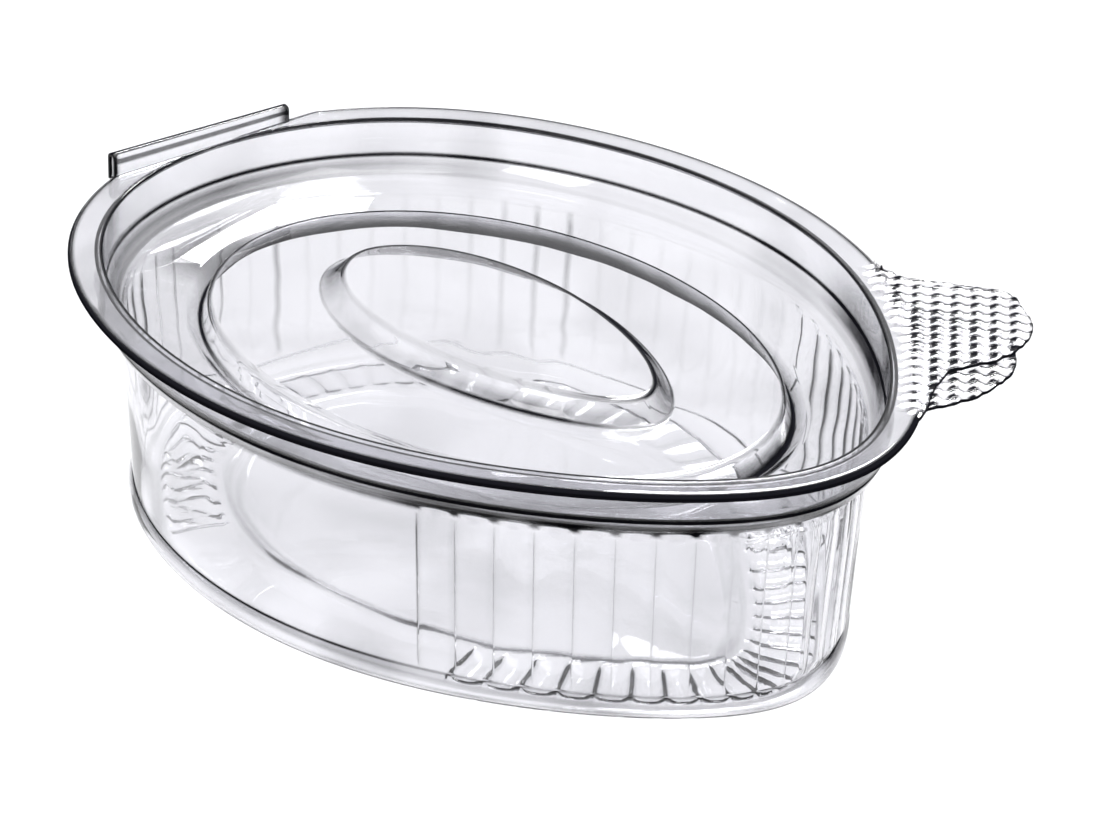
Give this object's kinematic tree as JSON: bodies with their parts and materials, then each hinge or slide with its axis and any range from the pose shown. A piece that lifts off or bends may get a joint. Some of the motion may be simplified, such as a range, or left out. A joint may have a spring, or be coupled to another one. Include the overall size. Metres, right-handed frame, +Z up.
{
  "type": "plastic sauce container",
  "caption": "Small clear egg-shaped sauce pot with a fluted wall, a recessed push-in lid on a folded hinge strip, and textured grip tabs.",
  "frame": {"origin": "on the resting plane, under the middle of the rim", "axes": "+X along the pot from the hinge at the wide end to the narrow end, +Y to the side of the grip tabs, +Z up"},
  "size_m": [0.0982, 0.0766, 0.0306],
  "materials": {
    "clear_plastic": "clear, glossy, thin pressed sheet"
  },
  "bodies": {
    "tub": {"tub": "clear_plastic"},
    "lid": {"lid": "clear_plastic"}
  },
  "joints": [
    {"name": "lid_hinge", "type": "hinge", "parent": "tub", "child": "lid", "pos_m": [-0.0473, 0, 0.03005], "axis": [0, -1, 0], "range_deg": [0, 180]}
  ]
}
